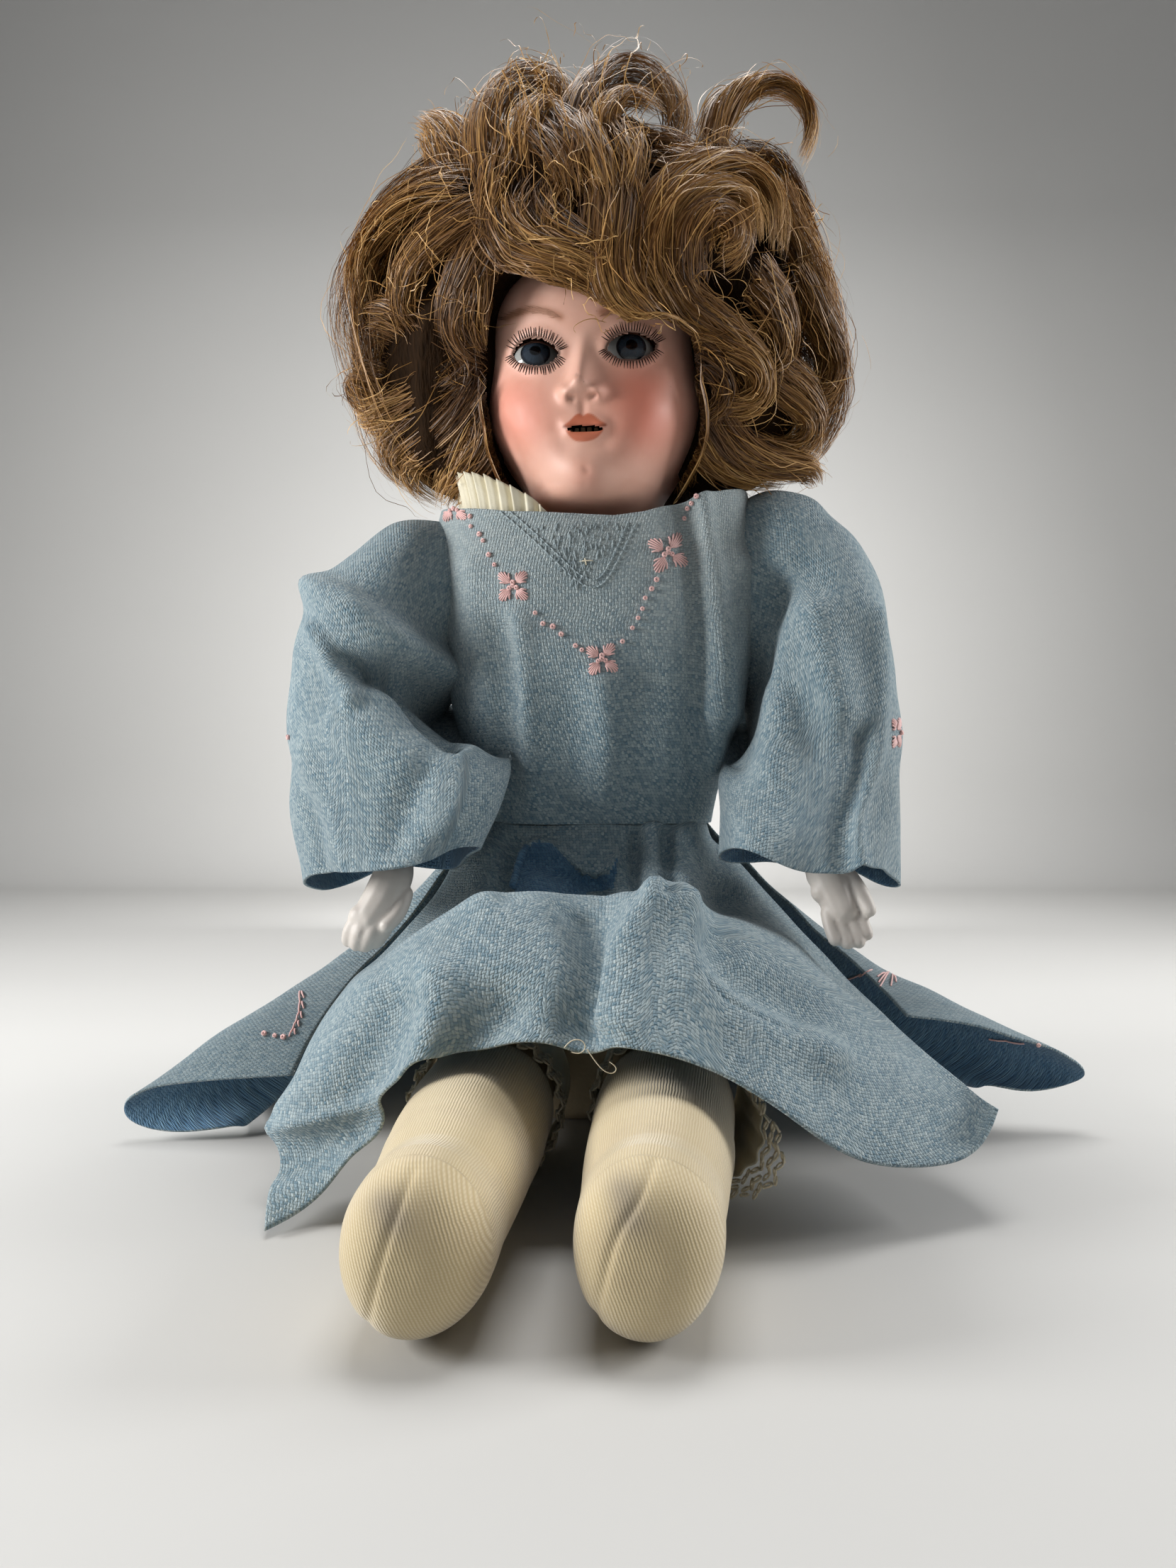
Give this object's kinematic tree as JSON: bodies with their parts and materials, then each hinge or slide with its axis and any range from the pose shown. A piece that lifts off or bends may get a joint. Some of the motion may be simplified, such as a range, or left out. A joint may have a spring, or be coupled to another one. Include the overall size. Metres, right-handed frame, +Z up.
{
  "type": "porcelain doll",
  "caption": "Seated bisque-headed doll with glass sleep eyes, a curled wig, an embroidered dress and knitted stockings, for display on a flat surface.",
  "frame": {"origin": "on the flat seat of the body, below the neck", "axes": "+Z up, the doll faces -Y, +X is the doll's left"},
  "size_m": [0.3389, 0.3113, 0.3965],
  "materials": {
    "tinted_bisque": "matt fired bisque, tinted and hand painted",
    "white_bisque": "matt fired bisque, unpainted",
    "eye_glass": "polished blown glass",
    "tooth_enamel": "glazed",
    "mohair": "curled hair",
    "pate_card": "pressed card",
    "beech": "turned wood",
    "steel_wire": "drawn wire",
    "lead": "cast weight",
    "muslin": "stuffed cotton",
    "blue_crepe": "coarse crepe weave",
    "cream_lawn": "fine pleated cotton",
    "cream_knit": "fine cotton knit",
    "crochet_lace": "cotton with crocheted edge"
  },
  "bodies": {
    "trunk": {"torso": "muslin", "shoulder_plate": "white_bisque", "dress_bodice": "blue_crepe", "dress_skirt_back": "blue_crepe", "dress_skirt_front": "blue_crepe", "chemise_collar": "cream_lawn"},
    "head": {"bisque_head": "tinted_bisque", "pate": "pate_card", "wig": "mohair", "upper_teeth": "tooth_enamel", "neck_plug": "beech", "neck_bolt": "steel_wire", "neck_nut": "steel_wire"},
    "eyes": {"left_eye": "eye_glass", "right_eye": "eye_glass", "eye_rocker": "steel_wire", "eye_weight": "lead"},
    "left_arm": {"left_upper_arm": "muslin", "left_forearm": "white_bisque", "left_sleeve": "blue_crepe"},
    "left_leg": {"left_stuffed_leg": "muslin", "left_stocking": "cream_knit", "left_drawers_leg": "crochet_lace", "left_drawers_lace": "crochet_lace"},
    "right_arm": {"right_upper_arm": "muslin", "right_forearm": "white_bisque", "right_sleeve": "blue_crepe"},
    "right_leg": {"right_stuffed_leg": "muslin", "right_stocking": "cream_knit", "right_drawers_leg": "crochet_lace", "right_drawers_lace": "crochet_lace"}
  },
  "joints": [
    {"name": "head_turn", "type": "hinge", "parent": "trunk", "child": "head", "pos_m": [0, -0.006, 0.216], "axis": [-0.052, 0.0055, 0.9986], "range_deg": [-45, 45]},
    {"name": "sleep_eyes", "type": "hinge", "parent": "head", "child": "eyes", "pos_m": [-0.00579, -0.03053, 0.27692], "axis": [0.9932, -0.1044, 0.0523], "range_deg": [0, 50]},
    {"name": "left_shoulder", "type": "hinge", "parent": "trunk", "child": "left_arm", "pos_m": [0.0451, -0.007, 0.2], "axis": [-1, 0, 0], "range_deg": [0, 70]},
    {"name": "right_shoulder", "type": "hinge", "parent": "trunk", "child": "right_arm", "pos_m": [-0.0451, -0.007, 0.2], "axis": [-1, 0, 0], "range_deg": [0, 70]},
    {"name": "left_hip", "type": "hinge", "parent": "trunk", "child": "left_leg", "pos_m": [0.03, -0.033, 0.0245], "axis": [1, 0, 0], "range_deg": [0, 70], "deforming": ["dress_skirt_front"]},
    {"name": "right_hip", "type": "hinge", "parent": "trunk", "child": "right_leg", "pos_m": [-0.028, -0.033, 0.0245], "axis": [1, 0, 0], "range_deg": [0, 70], "deforming": ["dress_skirt_front"]}
  ],
  "couplings": [
    {"joint": "right_hip", "follows": "left_hip", "ratio": 1}
  ]
}
